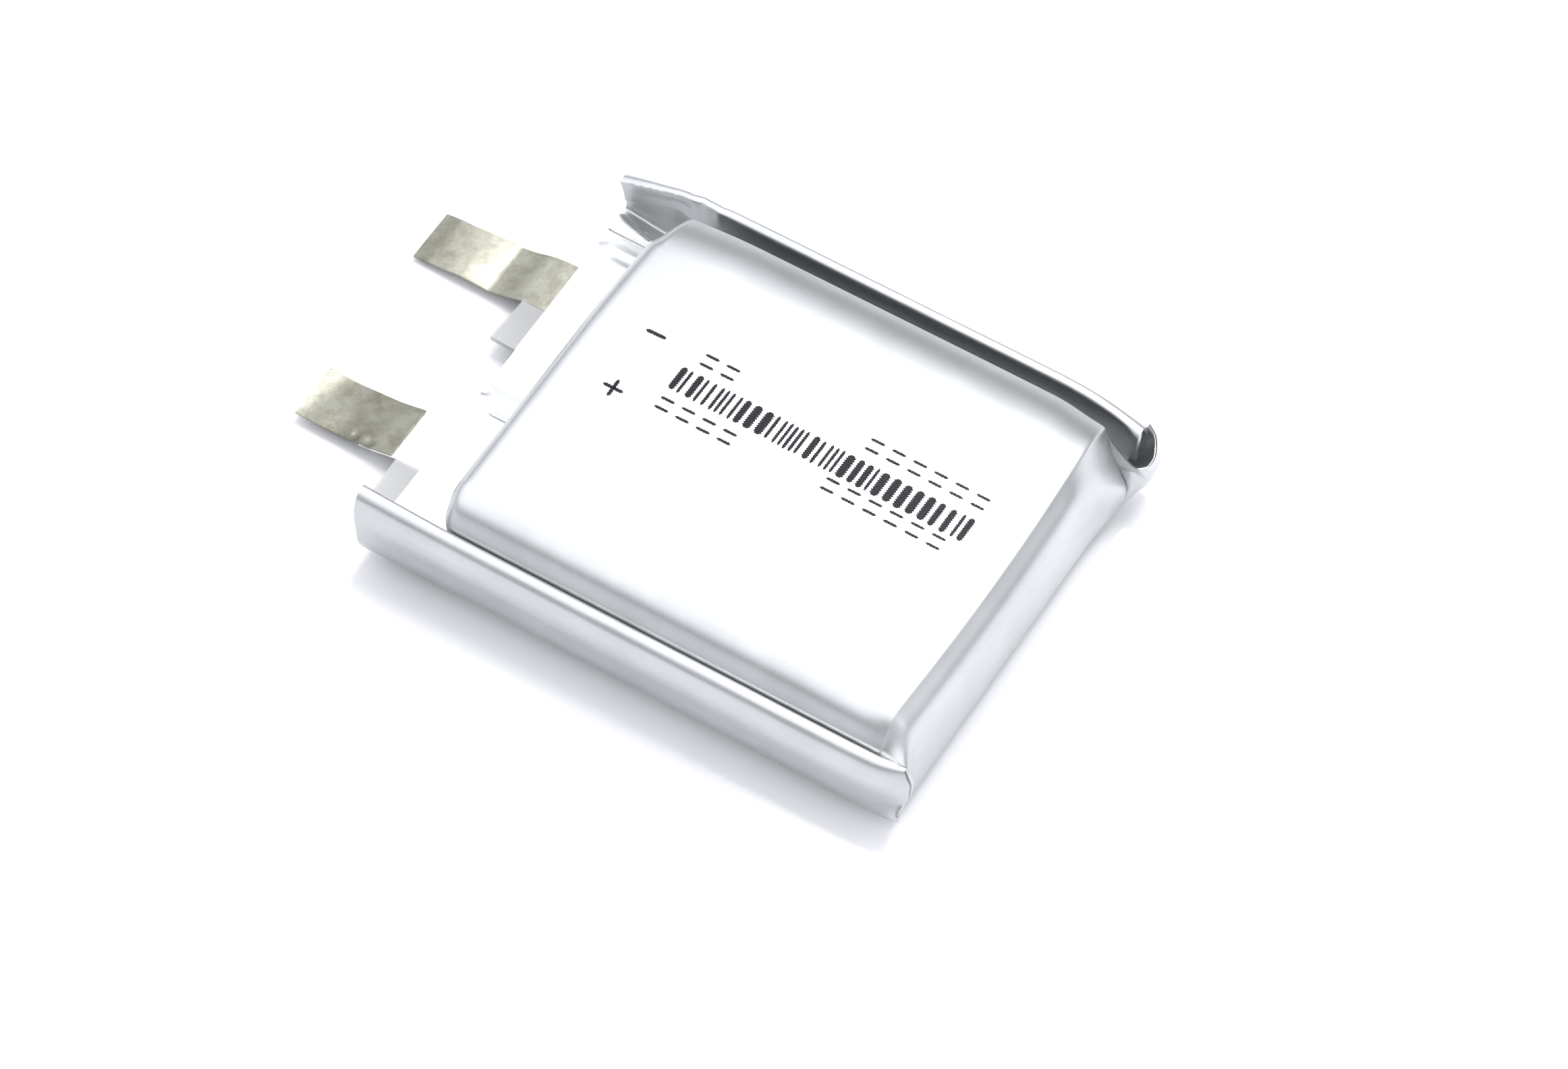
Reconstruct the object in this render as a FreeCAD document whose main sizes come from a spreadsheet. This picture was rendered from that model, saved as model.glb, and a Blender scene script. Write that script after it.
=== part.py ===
import FreeCAD, Part
import math
import os
import Sketcher

# Flat pouch cell, millimetres. +Z is up through the thickness, +Y points out along the tabs and
# +X is the negative tab's side. The origin is on the underside, at the middle of the pouch.

DIMENSIONS = {
    # whole pouch
    "pouch_length": 31.0,
    "pouch_width": 26.0,
    "pouch_thickness": 8.0,
    "laminate": 0.113,
    "seal_height": 1.36,
    # drawn cup and back tray
    "cup_width": 22.7,
    "cup_offset": -0.5,
    "cup_front": 11.1,
    "cup_back": -14.4,
    "cup_corner": 1.6,
    "cup_shoulder": 1.45,
    "crease_height": 5.9,
    "tray_taper": 35.0,
    "fold_radius": 0.2,
    # hemmed side folds
    "step_radius": 0.1,
    "hem_sheet": 0.2,
    "root_reach": 12.35,
    "belly_low": 3.4,
    "belly_high": 4.2,
    "belly_radius": 2.0,
    "crest_height": 6.05,
    "crest_reach": 12.47,
    "crest_radius": 0.2,
    "hem_reach": 12.02,
    "hem_end": 3.7,
    # tabs
    "tab_width": 3.34,
    "tab_sheet": 0.1,
    "tab_bend": 0.25,
    "tab_start": -4.0,
    "tab_turn": 9.75,
    "tab_settle": 10.35,
    "negative_centre": 6.57,
    "positive_centre": -5.53,
    "hinge_line": 17.1,
    "hinge_gap": 0.06,
    "crease_reach": 19.1,
    "crease_level": 0.7,
    "negative_tip": 23.7,
    "negative_tip_level": 0.4,
    "stub_tip": 19.3,
    "weld_gap": 0.01,
    "strip_start": 17.35,
    "knee_reach": 19.7,
    "knee_level": 0.95,
    "positive_tip": 23.15,
    "positive_tip_level": 0.8,
    # sealant films
    "film_sheet": 0.15,
    "film_width": 8.7,
    "film_start": 10.7,
    "film_end": 16.95,
    "negative_film_centre": 6.2,
    # winding
    "core_gap": 0.4,
    "roll_turns": 9,
    "roll_pitch": 0.367,
    "roll_level": 3.95,
    "outer_tab_level": 0.38,
    "roll_straight": 14.2,
    "roll_front": 9.3,
    "roll_back": -13.5,
    "roll_tail": -3.0,
    "anode_thickness": 0.11,
    "cathode_thickness": 0.12,
    "separator_thickness": 0.025,
    "layer_gap": 0.02175,
    "sheet_step": 0.3,
    "foil_thickness": 0.02,
    "foil_width": 4.0,
    "tape_thickness": 0.05,
    "tape_width": 4.2,
    "tape_start": 7.4,
    "end_tape_reach": 4.0,
}

doc = FreeCAD.newDocument("PouchCell")
sheet = doc.addObject("Spreadsheet::Sheet", "Sheet")
for row, (alias, value) in enumerate(DIMENSIONS.items(), start=1):
    sheet.set(f"A{row}", alias)
    sheet.set(f"B{row}", str(value))
    sheet.setAlias(f"B{row}", alias)
doc.recompute()

FILM_CENTRES = {"negative": "Sheet.negative_film_centre", "positive": "Sheet.positive_centre"}
TAB_CENTRES = {"negative": "Sheet.negative_centre", "positive": "Sheet.positive_centre"}
# The positive tab starts in the winding's core, the negative one under its outer turn.
TAB_LEVELS = {"negative": "outer_tab_level", "positive": "roll_level"}
CUP_LEFT = "Sheet.cup_offset - Sheet.cup_width / 2"
CUP_LENGTH = "Sheet.cup_front - Sheet.cup_back"
parts = []


def size(alias):
    """A driving dimension, read back from the sheet."""
    return float(sheet.get(alias))


def point(x, y):
    return FreeCAD.Vector(x, y, 0)


def bind(obj, **expressions):
    """Bind properties to expressions; a double underscore in a name stands for a dot."""
    for name, text in expressions.items():
        obj.setExpression(name.replace("__", "."), text)


# ---- bodies, sketches and features ----

def new_body(label):
    body = doc.addObject("PartDesign::Body", label)
    body.Label = label
    parts.append(body)
    return body


def new_sketch(body, role, offset):
    """A sketch parallel to one of the body's own origin planes, moved along the plane's normal."""
    sketch = body.newObject("Sketcher::SketchObject", "Outline")
    plane = next(plane for plane in body.Origin.OriginFeatures if plane.Role == role)
    sketch.AttachmentSupport = [(plane, "")]
    sketch.MapMode = "FlatFace"
    bind(sketch, AttachmentOffset__Base__z=offset)
    return sketch


def draw_rectangle(sketch, left, bottom, width, height):
    """A rectangle whose place and size are four expressions."""
    corners = [point(0, 0), point(1, 0), point(1, 1), point(0, 1)]
    for index, corner in enumerate(corners):
        sketch.addGeometry(Part.LineSegment(corner, corners[(index + 1) % 4]), False)
    for index in range(4):
        sketch.addConstraint(Sketcher.Constraint("Coincident", index, 2, (index + 1) % 4, 1))
        sketch.addConstraint(Sketcher.Constraint(("Horizontal", "Vertical")[index % 2], index))
    drivers = [("DistanceX", (0, 1, 0, 2), width), ("DistanceY", (1, 1, 1, 2), height),
               ("DistanceX", (-1, 1, 0, 1), left), ("DistanceY", (-1, 1, 0, 1), bottom)]
    for kind, ends, text in drivers:
        number = sketch.addConstraint(Sketcher.Constraint(kind, *ends, 1.0))
        sketch.setExpression(f"Constraints[{number}]", text)


def pad(body, sketch, length, midplane=False):
    feature = body.newObject("PartDesign::Pad", "Pad")
    feature.Profile = sketch
    feature.Midplane = midplane
    bind(feature, Length=length)
    return feature


def pocket(body, sketch, length):
    """A pocket to both sides of its sketch, which has to remove something."""
    doc.recompute()
    before = body.Shape.Volume
    feature = body.newObject("PartDesign::Pocket", "Pocket")
    feature.Profile = sketch
    feature.Midplane = True
    bind(feature, Length=length)
    doc.recompute()
    if body.Shape.Volume > before - 1e-6:
        raise RuntimeError(f"{body.Label}: a pocket removes nothing")
    return feature


def fillet(body, base, chosen, radius):
    """Round the edges of a feature that pass a test."""
    doc.recompute()
    names = [f"Edge{number}" for number, edge in enumerate(base.Shape.Edges, start=1) if chosen(edge.BoundBox)]
    feature = body.newObject("PartDesign::Fillet", "Fillet")
    feature.Base = (base, names)
    bind(feature, Radius=radius)
    doc.recompute()
    return feature


def hollow(body, base, level):
    """Leave only the laminate's thickness, open at the flat face at one height."""
    names = [f"Face{number}" for number, face in enumerate(base.Shape.Faces, start=1)
             if face.BoundBox.ZLength < 1e-5 and abs(face.BoundBox.ZMin - level) < 1e-5]
    feature = body.newObject("PartDesign::Thickness", "Thickness")
    feature.Base = (base, names)
    feature.Reversed = True
    bind(feature, Value="Sheet.laminate")
    return feature


def plate(label, left, bottom, width, length, thickness, level):
    """A flat rectangular sheet; every size and place is an expression."""
    box = doc.addObject("Part::Box", label)
    box.Label = label
    bind(box, Length=width, Width=length, Height=thickness)
    bind(box, Placement__Base__x=left, Placement__Base__y=bottom, Placement__Base__z=level)
    parts.append(box)
    return box


# ---- bent sheets ----

def rounded_path(points, radii):
    """Straight runs joined by tangent arcs: a list of (start, end) lines and (start, middle, end) arcs."""
    runs = []
    start = points[0]
    for before, corner, after, radius in zip(points, points[1:], points[2:], radii):
        arrive = (before - corner).normalize()
        leave = (after - corner).normalize()
        half = arrive.getAngle(leave) / 2
        first = corner + arrive * (radius / math.tan(half))
        last = corner + leave * (radius / math.tan(half))
        towards = (arrive + leave).normalize()
        middle = corner + towards * (radius / math.sin(half) - radius)
        runs += [(start, first), (first, middle, last)]
        start = last
    return runs + [(start, points[-1])]


def beside(run, distance):
    """The same run moved sideways, to the left of its direction."""
    if len(run) == 2:
        along = (run[1] - run[0]).normalize()
        return tuple(end + point(-along.y, along.x) * distance for end in run)
    centre = Part.Arc(*run).toShape().Curve.Center
    turns_left = (run[1] - run[0]).cross(run[2] - run[1]).z > 0
    inward = distance if turns_left else -distance
    return tuple(end + (centre - end).normalize() * inward for end in run)


def draw_ribbon(sketch, runs, thickness):
    """The outline of a sheet of even thickness, centred on a path."""
    sides = [[beside(run, side * thickness / 2) for run in runs] for side in (1, -1)]
    for run in sides[0] + sides[1]:
        curve = Part.LineSegment(*run) if len(run) == 2 else Part.Arc(*run)
        sketch.addGeometry(curve, False)
    sketch.addGeometry(Part.LineSegment(sides[0][0][0], sides[1][0][0]), False)
    sketch.addGeometry(Part.LineSegment(sides[0][-1][-1], sides[1][-1][-1]), False)


def bent_sheet(label, role, offset, runs, thickness, length, midplane=False):
    """A sheet bent along a path and padded straight out of its plane."""
    body = new_body(label)
    sketch = new_sketch(body, role, offset)
    draw_ribbon(sketch, runs, thickness)
    pad(body, sketch, length, midplane)
    return body


# ---- pouch ----

def cut_film_slots(body, low):
    """Slots through the front wall where the two sealant films pass."""
    for centre in FILM_CENTRES.values():
        sketch = new_sketch(body, "XZ_Plane", "-Sheet.cup_front")
        draw_rectangle(sketch, f"{centre} - Sheet.film_width / 2", low, "Sheet.film_width",
                       "Sheet.film_sheet")
        pocket(body, sketch, "Sheet.cup_corner")


def cup_shell():
    """Drawn half of the pouch, open below; its back wall stops at the crease."""
    body = new_body("cup_shell")
    outline = new_sketch(body, "XY_Plane", "Sheet.seal_height")
    draw_rectangle(outline, CUP_LEFT, "Sheet.cup_back", "Sheet.cup_width", CUP_LENGTH)
    block = pad(body, outline, "Sheet.pouch_thickness - Sheet.seal_height")
    corners = fillet(body, block, lambda box: box.ZLength > 1, "Sheet.cup_corner")
    top = size("pouch_thickness")
    shoulders = fillet(body, corners, lambda box: box.ZMin > top - 1e-4, "Sheet.cup_shoulder")
    hollow(body, shoulders, size("seal_height"))
    cut_film_slots(body, "Sheet.seal_height")
    window = new_sketch(body, "XZ_Plane", "-Sheet.cup_back")
    draw_rectangle(window, f"{CUP_LEFT} + Sheet.cup_corner * 0.62", "Sheet.seal_height",
                   "Sheet.cup_width - Sheet.cup_corner * 1.24", "Sheet.crease_height - Sheet.seal_height")
    pocket(body, window, "8 * Sheet.laminate")


def back_sheet():
    """Underside of the pouch: a shallow tray that tapers down to the flat resting face."""
    body = new_body("back_sheet")
    outline = new_sketch(body, "XY_Plane", "Sheet.seal_height")
    draw_rectangle(outline, CUP_LEFT, "Sheet.cup_back", "Sheet.cup_width", CUP_LENGTH)
    block = pad(body, outline, "Sheet.seal_height")
    block.Reversed = True
    bind(block, TaperAngle="-Sheet.tray_taper")
    doc.recompute()
    hollow(body, block, size("seal_height"))
    cut_film_slots(body, "Sheet.seal_height - Sheet.film_sheet")


def bottom_fold():
    """The laminate's fold: a wall that flares out below the crease, then turns under to the tray."""
    half = size("laminate") / 2
    reach = size("pouch_length") / 2
    seal = size("seal_height")
    start = point(size("cup_back") + half, size("crease_height") - half / 2)
    corner = point(half - reach - half, seal - half / 2)
    end = point(size("cup_back"), seal - 3 * half)
    runs = rounded_path([start, corner, end], [size("fold_radius")])
    bent_sheet("bottom_fold", "YZ_Plane", CUP_LEFT, runs, size("laminate"), "Sheet.cup_width")


def top_seal(label, side):
    """One laminate layer of the terrace, stepped over (or under) the two sealant films."""
    half = size("laminate") / 2
    plain = size("seal_height") + side * half
    raised = plain + side * size("film_sheet")
    left = size("cup_offset") - size("cup_width") / 2
    points = [point(left, plain)]
    for centre in (size("positive_centre"), size("negative_film_centre")):
        edge = size("film_width") / 2
        points += [point(centre - edge - 3 * half, plain), point(centre - edge - half, raised),
                   point(centre + edge + half, raised), point(centre + edge + 3 * half, plain)]
    points.append(point(left + size("cup_width"), plain))
    runs = rounded_path(points, [size("step_radius")] * (len(points) - 2))
    bent_sheet(label, "XZ_Plane", "-Sheet.pouch_length / 2", runs, size("laminate"),
               "Sheet.pouch_length / 2 - Sheet.cup_front")


def side_seal(label, side):
    """A sealed edge folded up beside the cup, with its rim hemmed over towards the cup."""
    half = size("hem_sheet") / 2
    seal = size("seal_height")
    wall = size("cup_width") / 2 + side * size("cup_offset")
    belly = size("pouch_width") / 2 - half
    crest = size("crest_height") - half
    outline = [(wall, seal), (size("root_reach"), seal), (belly, size("belly_low")),
               (belly, size("belly_high")), (size("crest_reach"), crest), (size("hem_reach"), crest),
               (size("hem_reach"), size("hem_end"))]
    radii = [size("crest_radius"), size("belly_radius"), size("belly_radius"),
             size("crest_radius"), size("crest_radius")]
    runs = rounded_path([point(side * reach, level) for reach, level in outline], radii)
    bent_sheet(label, "XZ_Plane", "0", runs, size("hem_sheet"), "Sheet.pouch_length", midplane=True)


# ---- tabs ----

def tab_strip(label, polarity, path, bend):
    """A tab strip bent along its side view, centred on its polarity's line."""
    runs = rounded_path([point(*place) for place in path], [bend] * (len(path) - 2))
    return bent_sheet(label, "YZ_Plane", TAB_CENTRES[polarity], runs, size("tab_sheet"),
                      "Sheet.tab_width", midplane=True)


def tab_roots():
    """The fixed length of each tab: from its electrode to the seal, and out to the bend line."""
    seal = size("seal_height")
    for polarity, level in TAB_LEVELS.items():
        path = [(size("tab_start"), size(level)), (size("tab_turn"), size(level)),
                (size("tab_settle"), seal), (size("hinge_line") - size("hinge_gap"), seal)]
        tab_strip(f"{polarity}_tab_root", polarity, path, size("tab_bend"))


def tab_ends():
    """The free lengths: a creased nickel end, and an aluminium stub with a nickel strip welded on it."""
    first = (size("hinge_line") + size("hinge_gap"), size("seal_height"))
    tab_strip("negative_tab_end", "negative",
              [first, (size("crease_reach"), size("crease_level")),
               (size("negative_tip"), size("negative_tip_level"))], size("tab_bend"))
    lift = size("tab_sheet") + size("weld_gap")
    knee = (size("knee_reach"), size("knee_level"))
    slope = (knee[1] - lift - first[1]) / (knee[0] - first[0])
    stub = (size("stub_tip"), first[1] + slope * (size("stub_tip") - first[0]))
    tab_strip("positive_tab_stub", "positive", [first, stub], 0)
    rise = lift * math.hypot(1, slope)
    start = (size("strip_start"), first[1] + slope * (size("strip_start") - first[0]) + rise)
    knee = (knee[0], first[1] + slope * (knee[0] - first[0]) + rise)
    tab_strip("positive_tab_strip", "positive",
              [start, knee, (size("positive_tip"), size("positive_tip_level"))], size("tab_bend"))


def film(polarity, name, level, groove):
    """A sealant film with a shallow groove, half the tab deep, where it has melted round the tab."""
    body = new_body(f"{polarity}_film_{name}")
    outline = new_sketch(body, "XY_Plane", level)
    draw_rectangle(outline, f"{FILM_CENTRES[polarity]} - Sheet.film_width / 2", "Sheet.film_start",
                   "Sheet.film_width", "Sheet.film_end - Sheet.film_start")
    pad(body, outline, "Sheet.film_sheet")
    channel = new_sketch(body, "XY_Plane", groove)
    draw_rectangle(channel, f"{TAB_CENTRES[polarity]} - Sheet.tab_width / 2", "Sheet.film_start",
                   "Sheet.tab_width", "Sheet.film_end - Sheet.film_start")
    pocket(body, channel, "Sheet.tab_sheet")


def films():
    for polarity in FILM_CENTRES:
        film(polarity, "upper", "Sheet.seal_height", "Sheet.seal_height")
        film(polarity, "lower", "Sheet.seal_height - Sheet.film_sheet", "Sheet.seal_height")


# ---- winding ----

def winding_layer(label, inset, thickness, step):
    """One sheet of the winding: a flattened spiral that starts in the core and ends on the top face."""
    half = size("roll_straight") / 2
    pitch = size("roll_pitch")
    level = size("roll_level")
    middle = size("cup_offset")
    inner = size("core_gap") / 2 + inset + thickness / 2
    turns = int(size("roll_turns"))
    runs = []
    for turn in range(turns):
        low = level - inner - turn * pitch
        high = level + inner + (turn + 0.5) * pitch
        next_low = low - pitch
        right, left = middle + half, middle - half
        runs.append((point(left, low), point(right, low)))
        reach = (high - low) / 2
        runs.append((point(right, low), point(right + reach, (high + low) / 2), point(right, high)))
        if turn < turns - 1:
            runs.append((point(right, high), point(left, high)))
            reach = (high - next_low) / 2
            runs.append((point(left, high), point(left - reach, (high + next_low) / 2),
                         point(left, next_low)))
    runs.append((point(right, high), point(size("roll_tail"), high)))
    bent_sheet(label, "XZ_Plane", f"-Sheet.roll_front + {step} * Sheet.sheet_step", runs, thickness,
               f"Sheet.roll_front - Sheet.roll_back - {2 * step} * Sheet.sheet_step")


def winding():
    """Cathode, separator, anode and separator, wound together; each separator overhangs both electrodes."""
    layers = [("cathode_sheet", "cathode_thickness", 2), ("separator_inner", "separator_thickness", 0),
              ("anode_sheet", "anode_thickness", 1), ("separator_outer", "separator_thickness", 0)]
    inset = 0
    for label, thickness, step in layers:
        winding_layer(label, inset, size(thickness), step)
        inset += size(thickness) + size("layer_gap")


def winding_end_tape():
    """Tape that steps down over the winding's outer end and holds it closed."""
    half = size("tape_thickness") / 2
    pitch = size("roll_pitch")
    top = size("roll_level") + size("core_gap") / 2 + (size("roll_turns") + 0.5) * pitch + half
    tail = size("roll_tail")
    reach = size("end_tape_reach")
    points = [point(tail - reach, top - pitch), point(tail - 6 * half, top - pitch),
              point(tail - 2 * half, top), point(tail + reach, top)]
    runs = rounded_path(points, [size("step_radius")] * 2)
    bent_sheet("winding_end_tape", "XZ_Plane", "-Sheet.roll_front + Sheet.sheet_step", runs,
               size("tape_thickness"), "Sheet.roll_front - Sheet.roll_back - 2 * Sheet.sheet_step")


def foil_tails():
    """The bare end of each electrode's foil above its tab, and the insulating tape below the tab."""
    for foil, polarity in (("anode_foil_tail", "negative"), ("cathode_foil_tail", "positive")):
        centre = TAB_CENTRES[polarity]
        level = f"Sheet.{TAB_LEVELS[polarity]}"
        plate(foil, f"{centre} - Sheet.foil_width / 2", "Sheet.roll_back + 2 * Sheet.sheet_step",
              "Sheet.foil_width", "Sheet.roll_front - Sheet.roll_back - 4 * Sheet.sheet_step",
              "Sheet.foil_thickness", f"{level} + Sheet.tab_sheet / 2")
        plate(f"{polarity}_tab_tape", f"{centre} - Sheet.tape_width / 2", "Sheet.tape_start",
              "Sheet.tape_width", "Sheet.roll_front - Sheet.tape_start",
              "Sheet.tape_thickness", f"{level} - Sheet.tab_sheet / 2 - Sheet.tape_thickness")


# ---- build, check and write ----

def check(made):
    """Stop if any object failed or any sub-part has no valid shape."""
    for obj in doc.Objects:
        if {"Invalid", "Error"} & set(obj.State):
            raise RuntimeError(f"{obj.Label}: {obj.State}")
    for part in made:
        if part.Shape.isNull() or not part.Shape.isValid() or not part.Shape.Solids:
            raise RuntimeError(f"{part.Label}: no valid solid")


cup_shell()
back_sheet()
bottom_fold()
top_seal("top_seal_upper", 1)
top_seal("top_seal_lower", -1)
side_seal("side_seal_left", -1)
side_seal("side_seal_right", 1)
tab_roots()
tab_ends()
films()
winding()
winding_end_tape()
foil_tails()
doc.recompute()
check(parts)
os.makedirs("parts", exist_ok=True)
for part in parts:
    part.Shape.exportStep(f"parts/{part.Label}.step")
    box = part.Shape.BoundBox
    print(f"{part.Label:22s} {part.Shape.Volume:9.3f} mm3  x {box.XMin:7.2f} {box.XMax:7.2f}  "
          f"y {box.YMin:7.2f} {box.YMax:7.2f}  z {box.ZMin:6.2f} {box.ZMax:6.2f}")
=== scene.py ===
import math
import random

import bmesh
import bpy
import numpy as np
from mathutils import Matrix, Vector


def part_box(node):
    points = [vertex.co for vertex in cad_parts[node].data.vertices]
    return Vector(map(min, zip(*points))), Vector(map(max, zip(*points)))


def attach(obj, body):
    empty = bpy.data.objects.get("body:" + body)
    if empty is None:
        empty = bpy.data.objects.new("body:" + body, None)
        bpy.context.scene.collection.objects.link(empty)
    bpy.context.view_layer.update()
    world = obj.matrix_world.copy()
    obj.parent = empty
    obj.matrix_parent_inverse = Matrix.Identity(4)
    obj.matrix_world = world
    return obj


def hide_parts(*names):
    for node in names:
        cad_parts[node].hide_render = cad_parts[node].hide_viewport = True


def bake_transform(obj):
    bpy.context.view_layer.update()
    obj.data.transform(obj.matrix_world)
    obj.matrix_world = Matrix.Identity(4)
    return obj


# Lengths in this script are millimetres; MM turns them into Blender's metres when a mesh is made.
MM = 0.001

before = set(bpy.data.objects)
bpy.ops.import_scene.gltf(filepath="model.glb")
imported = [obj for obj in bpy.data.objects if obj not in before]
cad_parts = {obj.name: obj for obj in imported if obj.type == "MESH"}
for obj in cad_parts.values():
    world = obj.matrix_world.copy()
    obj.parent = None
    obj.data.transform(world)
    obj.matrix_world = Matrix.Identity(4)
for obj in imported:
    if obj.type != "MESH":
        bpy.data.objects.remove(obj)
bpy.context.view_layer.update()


def node_box(node):
    """Lowest and highest corner of a CAD node, in millimetres."""
    low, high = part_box(node)
    return low / MM, high / MM


cup_low, cup_high = node_box("cup_shell")
# the level where the two halves of the pouch meet, and that of the top face
SEAL = cup_low.z
TOP = cup_high.z
TERRACE_END = node_box("top_seal_upper")[1].y
LAMINATE = 0.113
HEM_SHEET = 2 * LAMINATE
# edges that turn by more than this are shaded as creases
SHARP = math.radians(48)
# in metres: points this close are joined, and edges this short are dropped
JOIN_DISTANCE = 1e-6
SHORTEST_EDGE = 1e-7


# ---- curves and sheets ----

def mix(a, b, share):
    return a + (b - a) * share


def smoothstep(low, high, value):
    share = min(1.0, max(0.0, (value - low) / (high - low)))
    return share * share * (3 - 2 * share)


def bump(value, centre, width):
    """A soft hill of height 1."""
    return math.exp(-((value - centre) / width) ** 2)


def curve(knots, values, places):
    """Values at the given places, on a smooth curve through the knots that never overshoots them."""
    knots = np.array(knots, float)
    values = np.array(values, float).reshape(len(knots), -1)
    steps = np.diff(knots)
    slopes = np.diff(values, axis=0) / steps[:, None]
    tangents = np.vstack([slopes[:1], slopes, slopes[-1:]])
    weights = np.concatenate([steps[:1], steps, steps[-1:]])
    tangents = (
        tangents[:-1] * weights[1:, None] + tangents[1:] * weights[:-1, None]
    ) / (weights[:-1] + weights[1:])[:, None]
    before, after = np.vstack([slopes[:1], slopes]), np.vstack([slopes, slopes[-1:]])
    steepest = np.where(before * after > 0, 3 * np.minimum(np.abs(before), np.abs(after)), 0)
    tangents = np.clip(tangents, -steepest, steepest)
    made = []
    for place in np.clip(places, knots[0], knots[-1]):
        k = min(int(np.searchsorted(knots, place, side="right")) - 1, len(knots) - 2)
        t = (place - knots[k]) / steps[k]
        made.append(
            values[k] * (2 * t**3 - 3 * t**2 + 1)
            + tangents[k] * steps[k] * (t**3 - 2 * t**2 + t)
            + values[k + 1] * (3 * t**2 - 2 * t**3)
            + tangents[k + 1] * steps[k] * (t**3 - t**2)
        )
    return np.array(made)


def path(points, count):
    """Evenly spread points on a smooth curve through the given ones."""
    points = np.array(points, float)
    lengths = np.concatenate([[0], np.cumsum(np.linalg.norm(np.diff(points, axis=0), axis=1))])
    return curve(lengths, points, np.linspace(0, lengths[-1], count))


class Sheet:
    """A sheet made of grids of points that are joined where they meet."""

    def __init__(self):
        self.points = []
        self.faces = []

    def add(self, rows):
        start = len(self.points)
        wide = len(rows[0])
        for row in rows:
            self.points += [tuple(p) for p in row]
        for i in range(len(rows) - 1):
            for j in range(wide - 1):
                a = start + i * wide + j
                self.faces.append((a, a + 1, a + 1 + wide, a + wide))

    def build(self, name, thickness, outward=(0, 0, 1), even=True):
        """The mesh object: joined, facing outward at its highest face, and thickened inwards."""
        bm = bmesh.new()
        made = [bm.verts.new(Vector(p) * MM) for p in self.points]
        for face in self.faces:
            bm.faces.new([made[i] for i in face])
        bmesh.ops.remove_doubles(bm, verts=bm.verts, dist=JOIN_DISTANCE)
        bmesh.ops.dissolve_degenerate(bm, edges=bm.edges, dist=SHORTEST_EDGE)
        bmesh.ops.recalc_face_normals(bm, faces=bm.faces)
        outward = Vector(outward)
        first = max(bm.faces, key=lambda face: face.calc_center_median().dot(outward))
        if first.normal.dot(outward) < 0:
            bmesh.ops.reverse_faces(bm, faces=bm.faces)
        mesh = bpy.data.meshes.new(name)
        bm.to_mesh(mesh)
        bm.free()
        obj = bpy.data.objects.new(name, mesh)
        bpy.context.scene.collection.objects.link(obj)
        thicken(obj, thickness, even)
        return obj


def thicken(obj, thickness, even=True):
    solid = obj.modifiers.new("thickness", "SOLIDIFY")
    solid.thickness = thickness * MM
    solid.offset = -1
    solid.use_even_offset = even
    graph = bpy.context.evaluated_depsgraph_get()
    mesh = bpy.data.meshes.new_from_object(obj.evaluated_get(graph))
    obj.modifiers.clear()
    obj.data = mesh
    mesh.shade_smooth()
    mesh.set_sharp_from_angle(angle=SHARP)


# ---- materials ----

def new_material(name):
    material = bpy.data.materials.new(name)
    material.use_nodes = True
    nodes = material.node_tree.nodes
    return material, nodes["Principled BSDF"], nodes, material.node_tree.links


def noise(nodes, links, scale, detail=2.0, stretch=(1, 1, 1), roughness=0.5):
    """A noise value in object space; scale is in features per millimetre."""
    place = nodes.new("ShaderNodeTexCoord")
    mapping = nodes.new("ShaderNodeMapping")
    mapping.inputs["Scale"].default_value = Vector(stretch) * scale / MM
    texture = nodes.new("ShaderNodeTexNoise")
    texture.inputs["Scale"].default_value = 1.0
    texture.inputs["Detail"].default_value = detail
    texture.inputs["Roughness"].default_value = roughness
    links.new(place.outputs["Object"], mapping.inputs["Vector"])
    links.new(mapping.outputs["Vector"], texture.inputs["Vector"])
    return texture.outputs["Fac"]


def rgba(colour):
    """A colour of three values, or a grey of one, as four."""
    return (*colour, 1) if len(colour) == 3 else (colour[0],) * 3 + (1,)


def ramp(nodes, links, value, low, high, dark, light):
    """Colours or greys from dark to light as value goes from low to high."""
    made = nodes.new("ShaderNodeValToRGB")
    for element, position, colour in zip(made.color_ramp.elements, (low, high), (dark, light)):
        element.position = position
        element.color = rgba(colour)
    links.new(value, made.inputs["Fac"])
    return made.outputs["Color"]


def shade_along(nodes, links, axis, places, colours):
    """A shade that runs along an object axis through the colours at these places, in millimetres."""
    low, high = places[0], places[-1]
    place = nodes.new("ShaderNodeTexCoord")
    split = nodes.new("ShaderNodeSeparateXYZ")
    links.new(place.outputs["Object"], split.inputs["Vector"])
    along = nodes.new("ShaderNodeMapRange")
    along.inputs["From Min"].default_value = low * MM
    along.inputs["From Max"].default_value = high * MM
    links.new(split.outputs[axis], along.inputs["Value"])
    shade = nodes.new("ShaderNodeValToRGB")
    while len(shade.color_ramp.elements) < len(places):
        shade.color_ramp.elements.new(0.5)
    for element, spot, colour in zip(shade.color_ramp.elements, places, colours):
        element.position = (spot - low) / (high - low)
        element.color = rgba(colour)
    links.new(along.outputs["Result"], shade.inputs["Fac"])
    return shade.outputs["Color"]


def add_bump(nodes, links, shader, layers):
    """Bump from several (height, depth in mm) layers, each on top of the last."""
    last = None
    for height, depth in layers:
        node = nodes.new("ShaderNodeBump")
        node.inputs["Strength"].default_value = 1.0
        node.inputs["Distance"].default_value = depth * MM
        links.new(height, node.inputs["Height"])
        if last:
            links.new(last, node.inputs["Normal"])
        last = node.outputs["Normal"]
    links.new(last, shader.inputs["Normal"])


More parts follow.
